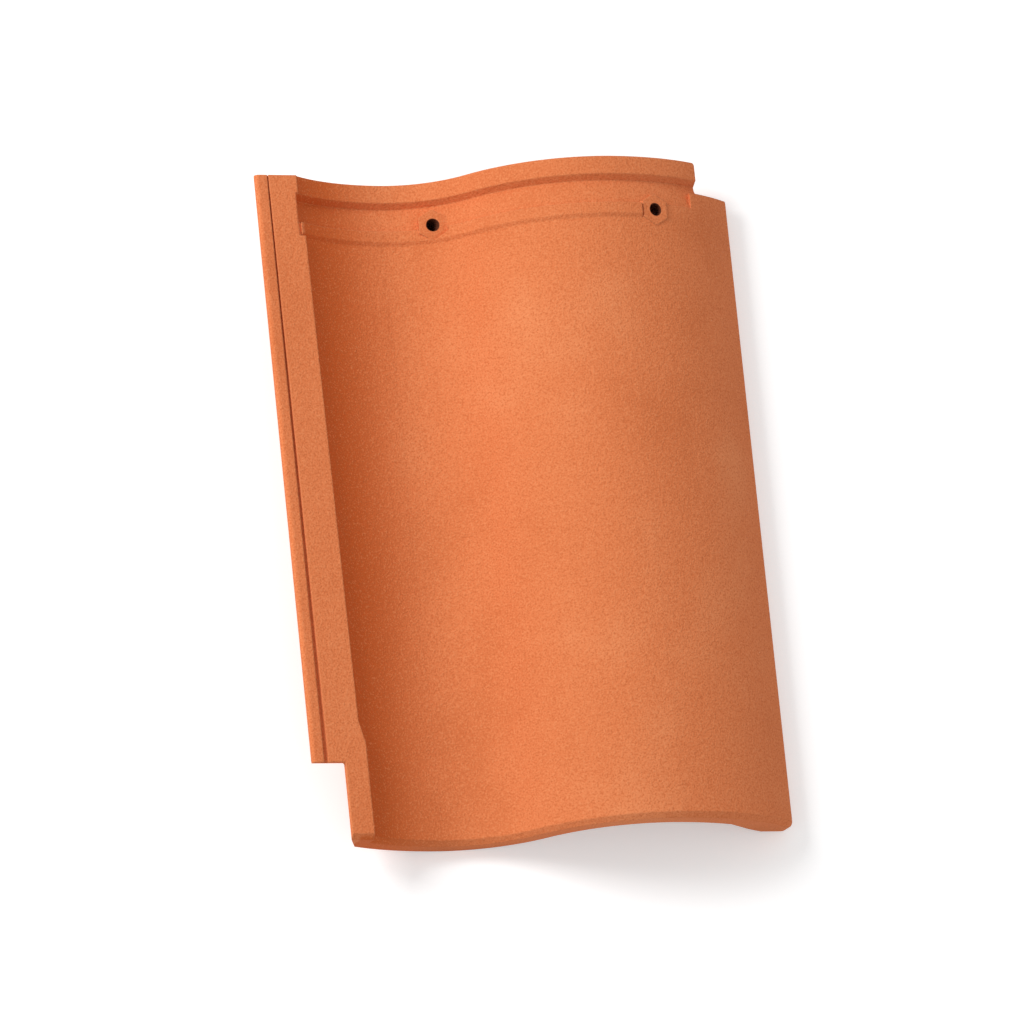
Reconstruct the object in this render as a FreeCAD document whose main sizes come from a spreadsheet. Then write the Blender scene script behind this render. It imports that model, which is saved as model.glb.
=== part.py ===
import FreeCAD, Part
import math
import os
import Sketcher

# Interlocking S-profile clay roof tile, pressed and fired as one piece.
# Built flat: +X from the side-lock flange to the cover edge, +Y from nose to head, +Z up,
# with the pan's underside on Z = 0. The finished body is then tipped about Y until its pan
# and its cover edge both stand on the floor, which is how it lies when nothing holds it.

os.makedirs("parts", exist_ok=True)
doc = FreeCAD.newDocument("roof_tile")

# ---------------------------------------------------------------- driving dimensions, mm
dims = doc.addObject("Spreadsheet::Sheet", "Dims")
SIZES = [
    ("tile_length", 336.5),
    ("tile_width", 247.2),
    ("clay_thick", 12.0),
    # section across the tile
    ("pan_from_left", 73.0),
    ("barrel_from_right", 71.2),
    ("barrel_height", 69.0),
    ("barrel_left_radius", 76.5),
    ("barrel_right_radius", 112.0),
    ("flange_top", 28.5),
    ("flange_wide", 21.0),
    ("flange_thick", 6.5),
    ("flange_undercut", 2.5),
    ("flange_round", 2.0),
    # cover edge
    ("cover_drop", 37.5),
    ("cover_bead", 9.0),
    ("cover_taper", 38.0),
    ("cover_swell", 4.0),
    ("cover_run", 14.0),
    ("cover_draft", 0.5),
    ("bead_round", 4.2),
    # groove along the flange: wide at the nose, a fine line at the head
    ("groove_in", 6.7),
    ("groove_wide", 2.5),
    ("groove_deep", 2.0),
    ("groove_head_in", 7.0),
    ("groove_head_wide", 0.8),
    # wall between the flange and the pan
    ("wall_lip", 22.6),
    ("wall_head", 24.5),
    ("wall_nose", 26.8),
    ("wall_deep", 8.0),
    ("wall_end", 31.0),
    ("toe_in", 29.6),
    ("toe_long", 48.0),
    ("toe_ramp", 11.0),
    ("toe_undercut", 13.0),
    ("toe_edge", 2.5),
    # head end: lip, channel and rib
    ("head_lip", 9.0),
    ("lip_slope", 2.6),
    ("channel_end", 24.0),
    ("channel_deep", 3.6),
    ("channel_step", 0.8),
    ("channel_left", 21.5),
    ("channel_stop", 28.05),
    ("rib_end", 29.5),
    ("rib_slope", 2.2),
    ("rib_high", 1.2),
    ("rib_left", 23.0),
    ("rib_right", 58.6),
    # nail holes and their bosses
    ("nail_dia", 6.2),
    ("boss_flats", 14.0),
    ("boss_deep", 9.5),
    ("boss_clear", 12.0),
    ("pan_nail_from_crown", 79.2),
    ("pan_nail_back", 22.1),
    ("pan_boss_rise", 0.6),
    ("pan_boss_tilt", 12.0),
    ("cover_nail_in", 50.8),
    ("cover_nail_back", 27.0),
    ("cover_boss_rise", 0.4),
    ("cover_boss_tilt", 10.0),
    # corners and nose
    ("notch_long", 38.5),
    ("notch_wide", 18.0),
    ("corner_long", 16.0),
    ("corner_wide", 23.05),
    ("notch_undercut", 13.0),
    ("notch_round", 1.0),
    ("neck_round", 3.0),
    ("outer_round", 1.6),
    ("cover_corner_round", 4.0),
    ("nose_bevel", 2.6),
]
for row, (alias, value) in enumerate(SIZES, start=1):
    dims.set(f"A{row}", alias)
    dims.set(f"B{row}", str(value))
    dims.setAlias(f"B{row}", alias)
doc.recompute()
D = {alias: value for alias, value in SIZES}

# ---------------------------------------------------------------- section geometry
# The surface is four tangent arcs: pan left, pan right, barrel left, barrel right.
# The two pan radii follow from the flange corner and from tangency with the barrel.
OVER = 1.0        # how far a cutting outline runs past the clay that it cuts
LAP = 4.0         # how far an added wall runs back into the flange
SEAT = 2.0        # how far an added band is sunk into the clay below it
SUNK = 0.2        # how far a band's ramp ends below the face, so that it fades out
NEAR = 0.1        # an edge this near a place is the edge looked for there
TOUCH = 0.01      # a point this near a surface lies on it
LEAST = 1.0       # a cut or a pad changes at least this much clay, cubic mm
length = D["tile_length"]
width = D["tile_width"]
thick = D["clay_thick"]
pan_x = D["pan_from_left"]
barrel_x = width - D["barrel_from_right"]
crown = D["barrel_height"]
r_pan_left = ((pan_x - D["flange_wide"]) ** 2 + (D["flange_top"] - thick) ** 2) \
    / (2 * (D["flange_top"] - thick))
rise = thick - crown + D["barrel_left_radius"]
r_pan_right = ((barrel_x - pan_x) ** 2 + rise ** 2 - D["barrel_left_radius"] ** 2) \
    / (2 * (crown - thick))
CENTRES = {
    "pan_left": (pan_x, thick + r_pan_left),
    "pan_right": (pan_x, thick + r_pan_right),
    "barrel_left": (barrel_x, crown - D["barrel_left_radius"]),
    "barrel_right": (barrel_x, crown - D["barrel_right_radius"]),
}
RADII = {
    "pan_left": r_pan_left,
    "pan_right": r_pan_right,
    "barrel_left": D["barrel_left_radius"],
    "barrel_right": D["barrel_right_radius"],
}


def radius_at(arc, lift):
    """Radius of the named arc on a surface lifted by `lift` from the tile's face."""
    return RADII[arc] - lift if arc.startswith("pan") else RADII[arc] + lift


def on_arc(arc, x, lift=0.0):
    """Point at distance x from the left on the named arc, lifted from the face."""
    cx, cz = CENTRES[arc]
    r = radius_at(arc, lift)
    reach = math.sqrt(r ** 2 - (x - cx) ** 2)
    return (x, cz - reach) if arc.startswith("pan") else (x, cz + reach)


def join_point(lift=0.0):
    """Where the pan's right arc runs into the barrel's left arc."""
    ax, az = CENTRES["pan_right"]
    bx, bz = CENTRES["barrel_left"]
    gap = math.hypot(bx - ax, bz - az)
    r = radius_at("pan_right", lift)
    return (ax + (bx - ax) * r / gap, az + (bz - az) * r / gap)


def arc_at(x):
    """Name of the face arc at distance x from the left."""
    if x < pan_x:
        return "pan_left"
    if x < join_point()[0]:
        return "pan_right"
    return "barrel_left" if x < barrel_x else "barrel_right"


def face_height(x):
    return on_arc(arc_at(x), x)[1]


def vec(point):
    return FreeCAD.Vector(point[0], point[1], 0)


def arc_edge(arc, start, end, lift=0.0):
    """Sketch arc on the named circle running counter-clockwise between two points."""
    cx, cz = CENTRES[arc]
    circle = Part.Circle(FreeCAD.Vector(cx, cz, 0), FreeCAD.Vector(0, 0, 1), radius_at(arc, lift))
    a0 = math.atan2(start[1] - cz, start[0] - cx)
    a1 = math.atan2(end[1] - cz, end[0] - cx)
    return Part.ArcOfCircle(circle, a0, a1)


# ---------------------------------------------------------------- body and helpers
body = doc.addObject("PartDesign::Body", "roof_tile")
body.Label = "roof_tile"


def origin_plane(role):
    return [f for f in body.Origin.OriginFeatures if f.Role == role][0]


def new_sketch(name, role, offset=None):
    """Sketch on one of the body's planes; offset is an expression along the plane's normal."""
    sk = body.newObject("Sketcher::SketchObject", name)
    sk.AttachmentSupport = [(origin_plane(role), "")]
    sk.MapMode = "FlatFace"
    if offset:
        sk.setExpression("AttachmentOffset.Base.z", offset)
    return sk


def bind(sk, constraint, name, expression):
    """Adds a named dimension and ties it to the sheet."""
    index = sk.addConstraint(constraint)
    sk.renameConstraint(index, name)
    sk.setExpression(f"Constraints.{name}", expression)
    return index


def distance(sk, axis, a, b, name, expression):
    """Distance along an axis from point a to point b, each a (geometry, vertex) pair."""
    pa = sk.getPoint(*a)
    pb = sk.getPoint(*b)
    value = pb.x - pa.x if axis == "X" else pb.y - pa.y
    bind(sk, Sketcher.Constraint(f"Distance{axis}", a[0], a[1], b[0], b[1], value), name, expression)


ORIGIN = (-1, 1)


def pad(name, sk, length_expression, reverse):
    feature = body.newObject("PartDesign::Pad", name)
    feature.Profile = sk
    feature.Reversed = reverse
    feature.setExpression("Length", length_expression)
    doc.recompute()
    return feature


def pocket(name, sk, length_expression=None, reverse=False):
    """Pocket of a given length, or through the whole part both ways; it must remove clay."""
    before = body.Shape.Volume
    feature = body.newObject("PartDesign::Pocket", name)
    feature.Profile = sk
    feature.Reversed = reverse
    if length_expression:
        feature.setExpression("Length", length_expression)
    else:
        feature.Type = "ThroughAll"
        feature.Midplane = True
    doc.recompute()
    if body.Shape.Volume > before - LEAST:
        raise RuntimeError(f"{name} removes nothing")
    return feature


# ---------------------------------------------------------------- the S section
section = new_sketch("Section", "XZ_Plane")
top_z = D["flange_top"]
bottom_z = top_z - D["flange_thick"]
foot_z = crown - D["cover_drop"]
flange_x = D["flange_wide"]
under_reach = math.sqrt((r_pan_left + thick) ** 2 - (CENTRES["pan_left"][1] - bottom_z) ** 2)
under_left = (pan_x - under_reach, bottom_z)
taper_x = width - D["cover_taper"]
swell_x = taper_x + D["cover_run"]
bead_x = width - D["cover_bead"]
taper_point = on_arc("barrel_right", taper_x, -thick)
swell_point = on_arc("barrel_right", swell_x, -thick - D["cover_swell"])
edge_point = on_arc("barrel_right", width - D["cover_draft"])

outline = [
    ("line", (D["flange_undercut"], bottom_z), under_left),
    ("pan_left", under_left, (pan_x, 0), -thick),
    ("pan_right", (pan_x, 0), join_point(-thick), -thick),
    ("barrel_left", join_point(-thick), (barrel_x, crown - thick), -thick),
    ("barrel_right", (barrel_x, crown - thick), taper_point, -thick),
    ("line", taper_point, swell_point),
    ("line", swell_point, (bead_x, foot_z)),
    ("line", (bead_x, foot_z), (width, foot_z)),
    ("line", (width, foot_z), edge_point),
    ("barrel_right", edge_point, (barrel_x, crown), 0),
    ("barrel_left", (barrel_x, crown), join_point(), 0),
    ("pan_right", join_point(), (pan_x, thick), 0),
    ("pan_left", (pan_x, thick), (flange_x, top_z), 0),
    ("line", (flange_x, top_z), (0, top_z)),
    ("line", (0, top_z), (D["flange_undercut"], bottom_z)),
]
# vertex numbers (first, last) of each edge as it is walked round the outline
ends = []
for piece in outline:
    if piece[0] == "line":
        section.addGeometry(Part.LineSegment(vec(piece[1]), vec(piece[2])))
        ends.append((1, 2))
        continue
    upward = piece[3] < 0
    clockwise = piece[0].startswith("barrel") == upward
    if clockwise:
        section.addGeometry(arc_edge(piece[0], piece[2], piece[1], piece[3]))
        ends.append((2, 1))
    else:
        section.addGeometry(arc_edge(piece[0], piece[1], piece[2], piece[3]))
        ends.append((1, 2))
UNDER = {"pan_left": 1, "pan_right": 2, "barrel_left": 3, "barrel_right": 4}
FACE = {"barrel_right": 9, "barrel_left": 10, "pan_right": 11, "pan_left": 12}
count = len(outline)
for i in range(count):
    j = (i + 1) % count
    if i != FACE["barrel_left"]:
        section.addConstraint(Sketcher.Constraint("Coincident", i, ends[i][1], j, ends[j][0]))
for arc in FACE:
    section.addConstraint(Sketcher.Constraint("Coincident", UNDER[arc], 3, FACE[arc], 3))
for arc in ("barrel_left", "barrel_right"):
    bind(section, Sketcher.Constraint("Radius", FACE[arc], RADII[arc]), f"{arc}_r", f"Dims.{arc}_radius")
# lowest and highest points, with every centre plumb above or below them
low = (FACE["pan_right"], ends[FACE["pan_right"]][1])
high = (FACE["barrel_right"], ends[FACE["barrel_right"]][1])
distance(section, "X", ORIGIN, low, "pan_low_x", "Dims.pan_from_left")
distance(section, "Y", ORIGIN, low, "pan_low_z", "Dims.clay_thick")
distance(section, "X", ORIGIN, high, "crown_x", "Dims.tile_width - Dims.barrel_from_right")
distance(section, "Y", ORIGIN, high, "crown_z", "Dims.barrel_height")
for arc, point in (("pan_left", low), ("pan_right", low), ("barrel_left", high), ("barrel_right", high)):
    section.addConstraint(Sketcher.Constraint("Vertical", FACE[arc], 3, point[0], point[1]))
under_low = (UNDER["pan_left"], ends[UNDER["pan_left"]][1])
section.addConstraint(Sketcher.Constraint("Vertical", under_low[0], under_low[1], low[0], low[1]))
section.addConstraint(Sketcher.Constraint("PointOnObject", under_low[0], under_low[1], -1))
# the pan runs tangent into the barrel, which also joins their ends; the underside joins
# on the same line of centres
section.addConstraint(Sketcher.Constraint(
    "Tangent", FACE["barrel_left"], ends[FACE["barrel_left"]][1],
    FACE["pan_right"], ends[FACE["pan_right"]][0]))
centre_line = section.addGeometry(
    Part.LineSegment(vec(CENTRES["pan_right"]), vec(CENTRES["barrel_left"])), True)
section.addConstraint(Sketcher.Constraint("Coincident", centre_line, 1, FACE["pan_right"], 3))
section.addConstraint(Sketcher.Constraint("Coincident", centre_line, 2, FACE["barrel_left"], 3))
section.addConstraint(Sketcher.Constraint(
    "PointOnObject", UNDER["pan_right"], ends[UNDER["pan_right"]][1], centre_line))
under_high = (UNDER["barrel_left"], ends[UNDER["barrel_left"]][1])
section.addConstraint(Sketcher.Constraint("Vertical", under_high[0], under_high[1], high[0], high[1]))
# flange, with its outer side undercut
for i in (0, 13):
    section.addConstraint(Sketcher.Constraint("Horizontal", i))
section.addConstraint(Sketcher.Constraint("PointOnObject", 14, 1, -2))
distance(section, "Y", ORIGIN, (13, 1), "flange_z", "Dims.flange_top")
distance(section, "X", ORIGIN, (13, 1), "flange_x", "Dims.flange_wide")
distance(section, "Y", (14, 2), (14, 1), "flange_t", "Dims.flange_thick")
distance(section, "X", ORIGIN, (14, 2), "undercut", "Dims.flange_undercut")
# cover edge: a taper that swells the clay, then a bead with a flat foot
section.addConstraint(Sketcher.Constraint("Horizontal", 7))
distance(section, "X", ORIGIN, (5, 1), "taper_x", "Dims.tile_width - Dims.cover_taper")
distance(section, "X", (5, 1), (5, 2), "swell_x", "Dims.cover_run")
distance(section, "Y", (5, 2), (5, 1), "swell_z", f"{taper_point[1] - swell_point[1]:.4f}")
distance(section, "X", ORIGIN, (7, 1), "bead_x", "Dims.tile_width - Dims.cover_bead")
distance(section, "X", ORIGIN, (7, 2), "edge_x", "Dims.tile_width")
distance(section, "Y", ORIGIN, (7, 2), "edge_z", "Dims.barrel_height - Dims.cover_drop")
distance(section, "X", ORIGIN, (8, 2), "face_x", "Dims.tile_width - Dims.cover_draft")
doc.recompute()

shell = pad("Shell", section, "Dims.tile_length", True)


def edges_near(feature, test):
    """Names of the edges whose two ends and middle all pass the test."""
    names = []
    for i, edge in enumerate(feature.Shape.Edges, start=1):
        middle = edge.valueAt((edge.FirstParameter + edge.LastParameter) / 2)
        spots = [v.Point for v in edge.Vertexes] + [middle]
        if all(test(p) for p in spots):
            names.append(f"Edge{i}")
    return names


def plumb_at(x, y, reach=NEAR):
    """Test for an upright edge within reach of a place in plan."""
    return lambda p: math.hypot(p.x - x, p.y - y) < reach


def along_at(x, z):
    """Test for an edge that runs the tile's length at a place in the section."""
    return lambda p: math.hypot(p.x - x, p.z - z) < NEAR


def dress(kind, name, base, tests, size_expression):
    """Fillets or chamfers each edge that passes one of the tests; every test must find one."""
    names = []
    for test in tests:
        found = edges_near(base, test)
        if not found:
            raise RuntimeError(f"{name} misses an edge")
        names += found
    feature = body.newObject(f"PartDesign::{kind}", name)
    feature.Base = (base, names)
    feature.setExpression("Radius" if kind == "Fillet" else "Size", size_expression)
    doc.recompute()
    if not feature.isValid():
        raise RuntimeError(f"{name} fails")
    return feature


# ---------------------------------------------------------------- rounds of the bare section
corner_round = dress("Fillet", "CoverCornerRound", shell,
                     [plumb_at(width, 0, D["cover_draft"] + NEAR)], "Dims.cover_corner_round")
flange_round = dress("Fillet", "FlangeRound", corner_round, [along_at(0, top_z)], "Dims.flange_round")
bead_rounds = dress("Fillet", "BeadRounds", flange_round,
                    [along_at(width, foot_z), along_at(bead_x, foot_z)], "Dims.bead_round")


def on_nose_face(p):
    """True for points on the upper edge of the nose, between the flange and the cover edge."""
    if abs(p.y) > TOUCH or p.x < flange_x - TOUCH or p.x > width - D["cover_draft"]:
        return False
    return abs(p.z - face_height(p.x)) < TOUCH


dress("Chamfer", "NoseBevel", bead_rounds, [on_nose_face], "Dims.nose_bevel")


# ---------------------------------------------------------------- flange groove and pan wall
def plan_outline(name, height, points):
    """Closed plan sketch; each point is an (x, x expression, y, y expression) row."""
    sk = new_sketch(name, "XY_Plane", height)
    count = len(points)
    for i in range(count):
        start, end = points[i], points[(i + 1) % count]
        sk.addGeometry(Part.LineSegment(vec((start[0], start[2])), vec((end[0], end[2]))))
    for i in range(count):
        sk.addConstraint(Sketcher.Constraint("Coincident", i, 2, (i + 1) % count, 1))
    for i, point in enumerate(points):
        distance(sk, "X", ORIGIN, (i, 1), f"x{i}", point[1])
        distance(sk, "Y", ORIGIN, (i, 1), f"y{i}", point[3])
    return sk


groove = plan_outline("GrooveOutline", "Dims.flange_top", [
    (D["groove_in"], "Dims.groove_in", -OVER, f"{-OVER}"),
    (D["groove_in"] + D["groove_wide"], "Dims.groove_in + Dims.groove_wide", -OVER, f"{-OVER}"),
    (D["groove_head_in"] + D["groove_head_wide"], "Dims.groove_head_in + Dims.groove_head_wide",
     length + OVER, f"Dims.tile_length + {OVER}"),
    (D["groove_head_in"], "Dims.groove_head_in", length + OVER, f"Dims.tile_length + {OVER}"),
])
pocket("Groove", groove, "Dims.groove_deep")
wall_back = (flange_x - LAP, f"Dims.flange_wide - {LAP}")
wall = plan_outline("WallOutline", "Dims.flange_top", [
    (*wall_back, 0, "0"),
    (D["toe_in"], "Dims.toe_in", 0, "0"),
    (D["toe_in"], "Dims.toe_in", D["toe_long"], "Dims.toe_long"),
    (D["wall_nose"], "Dims.wall_nose", D["toe_long"] + D["toe_ramp"], "Dims.toe_long + Dims.toe_ramp"),
    (D["wall_head"], "Dims.wall_head", length - D["wall_end"], "Dims.tile_length - Dims.wall_end"),
    (*wall_back, length - D["wall_end"], "Dims.tile_length - Dims.wall_end"),
])
pad("Wall", wall, "Dims.wall_deep", True)
lip_wall = plan_outline("LipWallOutline", "Dims.flange_top", [
    (*wall_back, length - D["head_lip"], "Dims.tile_length - Dims.head_lip"),
    (D["wall_lip"], "Dims.wall_lip", length - D["head_lip"], "Dims.tile_length - Dims.head_lip"),
    (D["wall_lip"], "Dims.wall_lip", length, "Dims.tile_length"),
    (*wall_back, length, "Dims.tile_length"),
])
pad("LipWall", lip_wall, "Dims.wall_deep", True)


# ---------------------------------------------------------------- bands that follow the S
def face_run(x0, x1, lift):
    """Arcs (name, start, end) of the lifted face from x0 to x1, left to right."""
    join_x = join_point()[0]
    limits = [("pan_left", 0.0, pan_x), ("pan_right", pan_x, join_x),
              ("barrel_left", join_x, barrel_x), ("barrel_right", barrel_x, width)]
    run = []
    for arc, left, right in limits:
        if left < x1 and right > x0:
            start = join_point(lift) if left == join_x else on_arc(arc, max(left, x0), lift)
            end = join_point(lift) if right == join_x else on_arc(arc, min(right, x1), lift)
            run.append((arc, start, end))
    return run


def add_run(sk, run, lift):
    for arc, start, end in run:
        if arc.startswith("pan"):
            sk.addGeometry(arc_edge(arc, start, end, lift))
        else:
            sk.addGeometry(arc_edge(arc, end, start, lift))


def band(name, back, x0, x1, lift, other):
    """Sketch `back` from the head: the face lifted by `lift`, closed at height `other` or, if
    that is negative, on the face sunk by that much."""
    sk = new_sketch(name, "XZ_Plane", f"-(Dims.tile_length - ({back}))")
    run = face_run(x0, x1, lift)
    add_run(sk, run, lift)
    left, right = run[0][1], run[-1][2]
    if other < 0:
        low_run = face_run(x0, x1, other)
        add_run(sk, low_run, other)
        sk.addGeometry(Part.LineSegment(vec(left), vec(low_run[0][1])))
        sk.addGeometry(Part.LineSegment(vec(right), vec(low_run[-1][2])))
    else:
        sk.addGeometry(Part.LineSegment(vec(left), vec((left[0], other))))
        sk.addGeometry(Part.LineSegment(vec((left[0], other)), vec((right[0], other))))
        sk.addGeometry(Part.LineSegment(vec((right[0], other)), vec(right)))
    for g in range(sk.GeometryCount):
        sk.addConstraint(Sketcher.Constraint("Block", g))
    return sk


def loft(name, kind, sketches):
    """Straight-ruled loft through a row of band sketches; it must change the clay."""
    before = body.Shape.Volume
    feature = body.newObject(f"PartDesign::{kind}Loft", name)
    feature.Profile = sketches[0]
    feature.Sections = sketches[1:]
    feature.Ruled = True
    doc.recompute()
    if abs(body.Shape.Volume - before) < LEAST:
        raise RuntimeError(f"{name} changes nothing")


# head recess: behind the lip the face slopes down, then ramps back up to a step at the rib
above = 2 * crown
deep = D["channel_deep"]
stop_x = width - D["channel_stop"]
slope_foot = D["head_lip"] + D["lip_slope"]
climb = (deep - D["channel_step"]) / (D["channel_end"] - slope_foot)
exit_deep = deep - climb * (D["corner_long"] - slope_foot)
START = f"Dims.head_lip - {OVER} * Dims.lip_slope / Dims.channel_deep"
FOOT = "Dims.head_lip + Dims.lip_slope"
channel_x = D["channel_left"]
loft("Channel", "Subtractive", [
    band("ChannelLip", START, channel_x, stop_x, OVER, above),
    band("ChannelFloor", FOOT, channel_x, stop_x, -deep, above),
    band("ChannelEnd", "Dims.channel_end", channel_x, stop_x, -D["channel_step"], above),
])
# past the stop the channel runs out at the cut-away head corner
exit_x0 = stop_x - OVER
exit_x1 = width - D["corner_wide"] + OVER
loft("ChannelExit", "Subtractive", [
    band("ExitLip", START, exit_x0, exit_x1, OVER, above),
    band("ExitFloor", FOOT, exit_x0, exit_x1, -deep, above),
    band("ExitEnd", "Dims.corner_long", exit_x0, exit_x1, -exit_deep, above),
])
rib_x0 = D["rib_left"]
rib_x1 = width - D["rib_right"]
loft("Rib", "Additive", [
    band("RibBack", "Dims.channel_end", rib_x0, rib_x1, D["rib_high"], -SEAT),
    band("RibFront", "Dims.rib_end", rib_x0, rib_x1, D["rib_high"], -SEAT),
    band("RibToe", "Dims.rib_end + Dims.rib_slope", rib_x0, rib_x1, -SUNK, -SEAT),
])

# ---------------------------------------------------------------- nail bosses and holes
def boss(name, x, back, x_value, rise, tilt, faced):
    """Six-sided boss with a flat top, tilted about Y, that stands a little off the face at its
    middle; a faced one also has the clay above its top cleared."""
    sk = new_sketch(f"{name}Hexagon", "XY_Plane")
    sk.AttachmentOffset = FreeCAD.Placement(FreeCAD.Vector(0, 0, 0),
                                            FreeCAD.Rotation(FreeCAD.Vector(0, 1, 0), 1))
    sk.setExpression("AttachmentOffset.Base.x", x)
    sk.setExpression("AttachmentOffset.Base.y", f"Dims.tile_length - {back}")
    sk.setExpression("AttachmentOffset.Base.z", f"{face_height(x_value):.4f} + {rise}")
    sk.setExpression("AttachmentOffset.Rotation.Angle", tilt)
    r = D["boss_flats"] / math.sqrt(3)
    turns = [math.radians(30 + 60 * i) for i in range(6)]
    corners = [(r * math.cos(turn), r * math.sin(turn)) for turn in turns]
    for i in range(6):
        sk.addGeometry(Part.LineSegment(vec(corners[i]), vec(corners[(i + 1) % 6])))
    ring = sk.addGeometry(Part.Circle(FreeCAD.Vector(0, 0, 0), FreeCAD.Vector(0, 0, 1), r), True)
    sk.addConstraint(Sketcher.Constraint("Coincident", ring, 3, -1, 1))
    for i in range(6):
        sk.addConstraint(Sketcher.Constraint("Coincident", i, 2, (i + 1) % 6, 1))
        sk.addConstraint(Sketcher.Constraint("PointOnObject", i, 1, ring))
    for i in range(1, 6):
        sk.addConstraint(Sketcher.Constraint("Equal", 0, i))
    sk.addConstraint(Sketcher.Constraint("Vertical", 2))
    bind(sk, Sketcher.Constraint("Radius", ring, r), "ring_r", "Dims.boss_flats / sqrt(3)")
    if faced:
        pocket(f"{name}Face", sk, "Dims.boss_clear", reverse=True)
    pad(f"{name}Fill", sk, "Dims.boss_deep", True)


def nail_hole(name, x, back, x_value, back_value):
    """Round hole straight through the clay, square to the flat tile."""
    sk = new_sketch(f"{name}Circle", "XY_Plane")
    centre = FreeCAD.Vector(x_value, length - back_value, 0)
    sk.addGeometry(Part.Circle(centre, FreeCAD.Vector(0, 0, 1), D["nail_dia"] / 2))
    bind(sk, Sketcher.Constraint("Diameter", 0, D["nail_dia"]), "dia", "Dims.nail_dia")
    distance(sk, "X", ORIGIN, (0, 3), "x", x)
    distance(sk, "Y", ORIGIN, (0, 3), "y", f"Dims.tile_length - {back}")
    pocket(name, sk)


pan_nail_x = barrel_x - D["pan_nail_from_crown"]
cover_nail_x = width - D["cover_nail_in"]
PAN_NAIL = "Dims.tile_width - Dims.barrel_from_right - Dims.pan_nail_from_crown"
COVER_NAIL = "Dims.tile_width - Dims.cover_nail_in"
boss("PanBoss", PAN_NAIL, "Dims.pan_nail_back", pan_nail_x, "Dims.pan_boss_rise", "-Dims.pan_boss_tilt",
     True)
boss("CoverBoss", COVER_NAIL, "Dims.cover_nail_back", cover_nail_x, "Dims.cover_boss_rise",
     "Dims.cover_boss_tilt", False)
nail_hole("PanNailHole", PAN_NAIL, "Dims.pan_nail_back", pan_nail_x, D["pan_nail_back"])
nail_hole("CoverNailHole", COVER_NAIL, "Dims.cover_nail_back", cover_nail_x, D["cover_nail_back"])

# ---------------------------------------------------------------- corners cut away
notch_x = D["notch_wide"]
notch_y = D["notch_long"]
neck_x = width - D["corner_wide"]
neck_y = length - D["corner_long"]
notch_outline = plan_outline("FlangeNotchOutline", None, [
    (-OVER, f"{-OVER}", -OVER, f"{-OVER}"),
    (notch_x, "Dims.notch_wide", -OVER, f"{-OVER}"),
    (notch_x, "Dims.notch_wide", notch_y, "Dims.notch_long"),
    (-OVER, f"{-OVER}", notch_y, "Dims.notch_long"),
])
pocket("FlangeNotch", notch_outline)
NECK_X = "Dims.tile_width - Dims.corner_wide"
NECK_Y = "Dims.tile_length - Dims.corner_long"
corner_outline = plan_outline("HeadCornerOutline", None, [
    (neck_x, NECK_X, neck_y, NECK_Y),
    (width + OVER, f"Dims.tile_width + {OVER}", neck_y, NECK_Y),
    (width + OVER, f"Dims.tile_width + {OVER}", length + OVER, f"Dims.tile_length + {OVER}"),
    (neck_x, NECK_X, length + OVER, f"Dims.tile_length + {OVER}"),
])
corner = pocket("HeadCorner", corner_outline)
notch_round = dress("Fillet", "NotchRound", corner, [plumb_at(notch_x, notch_y)], "Dims.notch_round")
neck_round = dress("Fillet", "NeckRound", notch_round, [plumb_at(neck_x, neck_y)], "Dims.neck_round")
outer_round = dress("Fillet", "OuterRounds", neck_round, [plumb_at(neck_x, length)],
                    "Dims.outer_round")


# ---------------------------------------------------------------- toe end
def on_toe_nose(p):
    """True for points on the upper edge of the toe's end at the nose."""
    return abs(p.z - top_z) < TOUCH and abs(p.y) < TOUCH


dress("Chamfer", "ToeBevel", outer_round, [on_toe_nose], "Dims.nose_bevel")


# below their upper edges the toe's outer side and the notch's end lean in under the clay
def undercut(name, role, offset, edge, edge_value, lean, run):
    """Cuts a wedge that starts `toe_edge` below the top at a distance `edge` and leans in by
    `lean` on its way down to the level of the pan's underside."""
    edge_z = top_z - D["toe_edge"]
    wedge = [(edge_value - OVER, edge_z), (edge_value, edge_z),
             (edge_value + D[lean], 0), (edge_value - OVER, 0)]
    sk = new_sketch(f"{name}Outline", role, offset)
    for i in range(4):
        sk.addGeometry(Part.LineSegment(vec(wedge[i]), vec(wedge[(i + 1) % 4])))
    for i in range(4):
        sk.addConstraint(Sketcher.Constraint("Coincident", i, 2, (i + 1) % 4, 1))
    sk.addConstraint(Sketcher.Constraint("Horizontal", 0))
    sk.addConstraint(Sketcher.Constraint("Vertical", 3))
    for vertex in (1, 2):
        sk.addConstraint(Sketcher.Constraint("PointOnObject", 2, vertex, -1))
    distance(sk, "X", ORIGIN, (0, 1), "out_x", f"{edge} - {OVER}")
    distance(sk, "X", ORIGIN, (0, 2), "edge_x", edge)
    distance(sk, "Y", ORIGIN, (0, 2), "edge_z", "Dims.flange_top - Dims.toe_edge")
    distance(sk, "X", (1, 1), (1, 2), "lean_x", f"Dims.{lean}")
    pocket(name, sk, run, reverse=role == "YZ_Plane")


undercut("NotchUndercut", "YZ_Plane", f"{-OVER}", "Dims.notch_long", notch_y, "notch_undercut",
         f"Dims.notch_wide + {OVER}")
undercut("ToeUndercut", "XZ_Plane", f"{OVER}", "Dims.notch_wide", notch_x, "toe_undercut",
         f"Dims.notch_long + Dims.notch_undercut / 2 + {OVER}")

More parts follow.
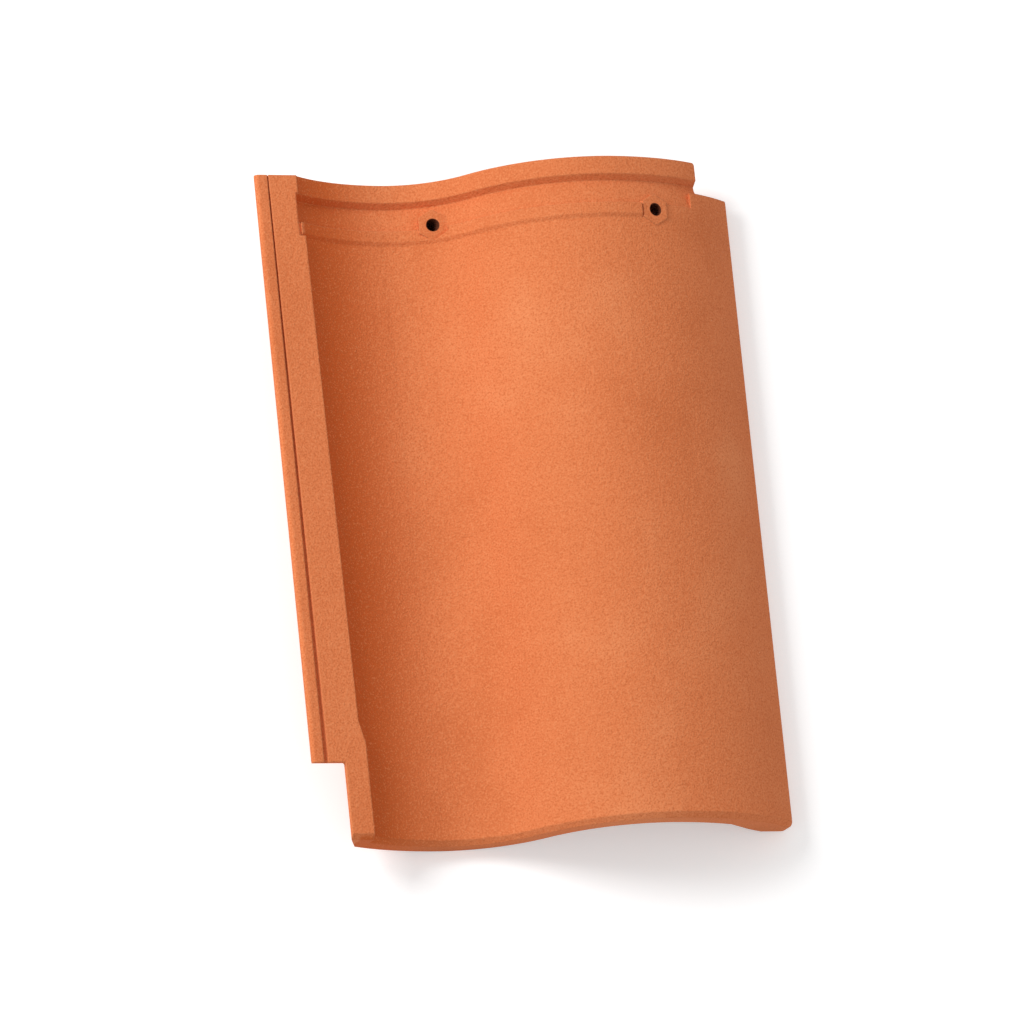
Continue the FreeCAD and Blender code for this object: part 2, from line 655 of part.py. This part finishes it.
# ---------------------------------------------------------------- settle on the floor
# The pan's underside is a cylinder and the cover's bead ends in a round. The tipping angle is
# that of the line tangent to both from below.
under_radius = r_pan_right + thick
bead_rise = foot_z + D["bead_round"] - under_radius
bead_run = width - D["bead_round"] - pan_x
span = math.hypot(bead_run, bead_rise)
lean = math.atan2(bead_rise, bead_run) + math.asin((under_radius - D["bead_round"]) / span)
tip = FreeCAD.Rotation(FreeCAD.Vector(0, 1, 0), math.degrees(lean))
body.Placement = FreeCAD.Placement(FreeCAD.Vector(0, 0, 0), tip)
doc.recompute()
box = body.Shape.optimalBoundingBox(False, False)
base = FreeCAD.Vector(-(box.XMin + box.XMax) / 2, -(box.YMin + box.YMax) / 2, -box.ZMin)
body.Placement = FreeCAD.Placement(base, tip)
doc.recompute()

for obj in doc.Objects:
    if "Invalid" in obj.State or "Error" in obj.State:
        raise RuntimeError(f"{obj.Name}: {obj.State}")
if not body.Shape.isValid() or len(body.Shape.Solids) != 1:
    raise RuntimeError("the tile is not one valid solid")
print(f"roof_tile: tipped {math.degrees(lean):.6f} degrees, moved {tuple(base)}")
body.Shape.exportStep("parts/roof_tile.step")
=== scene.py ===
import math

import bpy
from mathutils import Matrix, Vector


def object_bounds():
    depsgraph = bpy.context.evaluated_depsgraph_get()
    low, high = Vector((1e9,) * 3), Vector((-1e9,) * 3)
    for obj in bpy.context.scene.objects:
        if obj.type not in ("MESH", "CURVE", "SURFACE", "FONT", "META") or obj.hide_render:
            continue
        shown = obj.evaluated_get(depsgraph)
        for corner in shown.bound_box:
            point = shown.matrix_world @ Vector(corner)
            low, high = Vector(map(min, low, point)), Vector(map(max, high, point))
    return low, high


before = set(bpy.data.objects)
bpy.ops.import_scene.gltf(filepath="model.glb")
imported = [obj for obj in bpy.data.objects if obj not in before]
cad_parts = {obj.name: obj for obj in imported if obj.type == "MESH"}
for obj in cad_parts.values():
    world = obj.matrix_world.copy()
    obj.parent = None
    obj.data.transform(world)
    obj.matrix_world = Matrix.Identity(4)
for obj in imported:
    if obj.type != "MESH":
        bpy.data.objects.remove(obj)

cad_low, cad_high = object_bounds()

# ---- the tile ----
# One slab of red clay, pressed between two dies into an S, trimmed, sanded and fired once.
# The fired face is matte, with fine sand bedded all over it. Its arrises are a little soft and
# rubbed pale. The trough beside the flange carries painted shade, a deeper colour, and the
# nail-hole walls carry painted shade, near black.
CLAY = (0.735, 0.206, 0.072)
CLAY_PALE = (0.85, 0.310, 0.130)
CLAY_DEEP = (0.60, 0.145, 0.042)
# The next two colours are painted shade: the trough beside the flange, and the nail-hole walls.
CLAY_PAINTED_TROUGH_SHADE = (0.60, 0.112, 0.018)
NAIL_HOLE_PAINTED_SHADE = (0.12, 0.030, 0.012)
# The tile lies tipped, so its own right and up are fixed directions of the scene, and each
# nail hole is given by how far it lies along that right and along the tile's length.
TILE_RIGHT = (0.98226, 0.0, -0.18752)
TILE_AHEAD = (0.0, 1.0, 0.0)
TILE_UP = (0.18752, 0.0, 0.98226)
NAIL_HOLES = ((-0.03168, 0.14615), (0.06792, 0.14125))
NAIL_RADIUS = 0.0031
GRAIN_SCALE = 1100.0
LUMP_SCALE = 380.0
CLOUD_SCALE = 16.0
ARRIS_RADIUS = 0.0011


def new_material(name):
    """A node material, with its tree and its shader."""
    material = bpy.data.materials.new(name)
    material.use_nodes = True
    tree = material.node_tree
    return material, tree, tree.nodes["Principled BSDF"]


def noise(tree, coordinates, scale, detail):
    """A noise texture on the piece's own coordinates; scale is in features a metre."""
    node = tree.nodes.new("ShaderNodeTexNoise")
    node.inputs["Scale"].default_value = scale
    node.inputs["Detail"].default_value = detail
    tree.links.new(coordinates, node.inputs["Vector"])
    return node.outputs["Fac"]


def along(tree, coordinates, direction):
    """How far the piece's own coordinates lie along a fixed direction, or another vector."""
    node = tree.nodes.new("ShaderNodeVectorMath")
    node.operation = "DOT_PRODUCT"
    tree.links.new(coordinates, node.inputs[0])
    if isinstance(direction, tuple):
        node.inputs[1].default_value = direction
    else:
        tree.links.new(direction, node.inputs[1])
    return node.outputs["Value"]


def spread(tree, value, low, high, first, last):
    """Carries a value from one range to another, eased at both ends."""
    node = tree.nodes.new("ShaderNodeMapRange")
    node.interpolation_type = "SMOOTHSTEP"
    node.inputs["From Min"].default_value = low
    node.inputs["From Max"].default_value = high
    node.inputs["To Min"].default_value = first
    node.inputs["To Max"].default_value = last
    tree.links.new(value, node.inputs["Value"])
    return node.outputs["Result"]


def times(tree, first, second):
    """The product of two values; the second may be a number."""
    node = tree.nodes.new("ShaderNodeMath")
    node.operation = "MULTIPLY"
    tree.links.new(first, node.inputs[0])
    if isinstance(second, float):
        node.inputs[1].default_value = second
    else:
        tree.links.new(second, node.inputs[1])
    return node.outputs["Value"]


def blend(tree, amount, first, second):
    """Blends two colours by a value."""
    node = tree.nodes.new("ShaderNodeMix")
    node.data_type = "RGBA"
    tree.links.new(amount, node.inputs["Factor"])
    for socket, colour in ((node.inputs["A"], first), (node.inputs["B"], second)):
        if isinstance(colour, tuple):
            socket.default_value = (*colour, 1.0)
        else:
            tree.links.new(colour, socket)
    return node.outputs["Result"]


def near_axis(tree, coordinates, across, ahead, radius):
    """One inside a cylinder square to the tile at a place on it, nought outside."""
    plan = tree.nodes.new("ShaderNodeCombineXYZ")
    tree.links.new(along(tree, coordinates, TILE_RIGHT), plan.inputs["X"])
    tree.links.new(along(tree, coordinates, TILE_AHEAD), plan.inputs["Y"])
    gap = tree.nodes.new("ShaderNodeVectorMath")
    gap.operation = "DISTANCE"
    tree.links.new(plan.outputs["Vector"], gap.inputs[0])
    gap.inputs[1].default_value = (across, ahead, 0.0)
    return spread(tree, gap.outputs["Value"], radius + 0.0001, radius + 0.0004, 1.0, 0.0)


def firing_and_trough_shade(tree, place):
    """Cloudy base colour, with painted shade: a deeper colour in the trough beside the flange."""
    clouds = noise(tree, place, CLOUD_SCALE, 4.0)
    colour = blend(tree, spread(tree, clouds, 0.30, 0.50, 0.45, 0.0), CLAY, CLAY_DEEP)
    colour = blend(tree, spread(tree, clouds, 0.52, 0.75, 0.0, 0.35), colour, CLAY_PALE)
    # Painted shade: the trough beside the flange, below the flange top, is coloured deeper.
    across = along(tree, place, TILE_RIGHT)
    trough = times(tree, spread(tree, across, -0.096, -0.045, 1.0, 0.0),
                   spread(tree, across, -0.107, -0.105, 0.0, 1.0))
    low = spread(tree, along(tree, place, TILE_UP), 0.0172, 0.0188, 1.0, 0.0)
    return blend(tree, times(tree, trough, low), colour, CLAY_PAINTED_TROUGH_SHADE)


def sanded(tree, colour, grain):
    """Pale and dark grains of sand over a colour."""
    colour = blend(tree, spread(tree, grain, 0.50, 0.70, 0.0, 0.45), colour, CLAY_PALE)
    return blend(tree, spread(tree, grain, 0.32, 0.50, 0.75, 0.0), colour, CLAY_DEEP)


def sand_bump(tree, place, grain, normal):
    """A fine sandy bump laid over a softened normal."""
    height = tree.nodes.new("ShaderNodeMix")
    height.inputs["Factor"].default_value = 0.55
    tree.links.new(noise(tree, place, LUMP_SCALE, 3.0), height.inputs["A"])
    tree.links.new(grain, height.inputs["B"])
    bump = tree.nodes.new("ShaderNodeBump")
    bump.inputs["Strength"].default_value = 0.80
    bump.inputs["Distance"].default_value = 0.0009
    tree.links.new(height.outputs["Result"], bump.inputs["Height"])
    tree.links.new(normal, bump.inputs["Normal"])
    return bump.outputs["Normal"]


def fired_clay():
    """Matte terracotta: cloudy colour, sand, pale worn arrises, and painted shade in the trough
    and nail holes.
    """
    material, tree, shader = new_material("fired_clay")
    place = tree.nodes.new("ShaderNodeTexCoord").outputs["Object"]
    grain = noise(tree, place, GRAIN_SCALE, 2.0)
    colour = sanded(tree, firing_and_trough_shade(tree, place), grain)
    arris = tree.nodes.new("ShaderNodeBevel")
    arris.samples = 8
    arris.inputs["Radius"].default_value = ARRIS_RADIUS
    soft_normal = arris.outputs["Normal"]
    flat_normal = tree.nodes.new("ShaderNodeNewGeometry").outputs["Normal"]
    wear = spread(tree, along(tree, soft_normal, flat_normal), 0.80, 0.99, 0.35, 0.0)
    colour = blend(tree, wear, colour, CLAY_PALE)
    # Painted shade: the nail-hole walls are coloured near black to stand for the shade inside
    # them.
    for across, ahead in NAIL_HOLES:
        colour = blend(tree, near_axis(tree, place, across, ahead, NAIL_RADIUS), colour, NAIL_HOLE_PAINTED_SHADE)
    tree.links.new(colour, shader.inputs["Base Color"])
    tree.links.new(spread(tree, grain, 0.3, 0.7, 0.80, 0.96), shader.inputs["Roughness"])
    shader.inputs["Specular IOR Level"].default_value = 0.2
    tree.links.new(sand_bump(tree, place, grain, soft_normal), shader.inputs["Normal"])
    return material


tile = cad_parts["roof_tile"]
tile.data.materials.clear()
tile.data.materials.append(fired_clay())

# ---- floor ----
# A plain white table, wide enough to fill the view.
# The tile still shades it, though the camera sees it a little lighter than it is.
FLOOR_SIDE = 6.0


def white_paper():
    """Matte white, lifted towards pure white for the camera alone."""
    material, tree, shader = new_material("white_paper")
    shader.inputs["Base Color"].default_value = (0.88, 0.88, 0.88, 1.0)
    shader.inputs["Roughness"].default_value = 1.0
    shader.inputs["Specular IOR Level"].default_value = 0.0
    shader.inputs["Emission Color"].default_value = (1.0, 1.0, 1.0, 1.0)
    seen = tree.nodes.new("ShaderNodeLightPath").outputs["Is Camera Ray"]
    tree.links.new(times(tree, seen, 0.32), shader.inputs["Emission Strength"])
    return material


bpy.ops.object.select_all(action="DESELECT")
bpy.ops.mesh.primitive_plane_add(size=FLOOR_SIDE, location=(0.0, 0.0, cad_low.z))
floor = bpy.context.object
floor.name = "white_floor"
floor.data.materials.append(white_paper())

# ---- lights ----
# One wide soft lamp on the flange side, a little towards the head, and an even white sky.
LAMP_PLACE = (-1.56, 0.82, 1.47)

world = bpy.data.worlds.new("studio_sky")
bpy.context.scene.world = world
world.use_nodes = True
sky = world.node_tree.nodes["Background"]
sky.inputs["Color"].default_value = (1.0, 1.0, 1.0, 1.0)
sky.inputs["Strength"].default_value = 0.60

lamp_data = bpy.data.lights.new("key_lamp", "AREA")
lamp_data.size = 0.9
lamp_data.energy = 35.0
lamp = bpy.data.objects.new("key_lamp", lamp_data)
bpy.context.collection.objects.link(lamp)
lamp.location = LAMP_PLACE
lamp.rotation_euler = Vector(LAMP_PLACE).to_track_quat("Z", "Y").to_euler()

# ---- camera ----
# Looks down on the tile from over its nose and flange, through a long lens.
CAMERA_PLACE = Vector((-1.2498, -1.3800, 5.4705))
CAMERA_AIM = Vector((-0.0050, -0.0033, 0.0191))
CAMERA_ROLL = math.radians(-5.9)
HEADWARDS = Vector((0.0, 1.0, 0.0))

camera_data = bpy.data.cameras.new("camera")
camera_data.lens = 410.7
camera_data.sensor_width = 36.0
camera_data.clip_end = 50.0
camera = bpy.data.objects.new("camera", camera_data)
bpy.context.collection.objects.link(camera)
back = (CAMERA_PLACE - CAMERA_AIM).normalized()
side = HEADWARDS.cross(back).normalized()
turn = Matrix((side, back.cross(side), back)).transposed() @ Matrix.Rotation(CAMERA_ROLL, 3, "Z")
camera.matrix_world = Matrix.Translation(CAMERA_PLACE) @ turn.to_4x4()
bpy.context.scene.camera = camera
bpy.context.scene.view_settings.view_transform = "Standard"
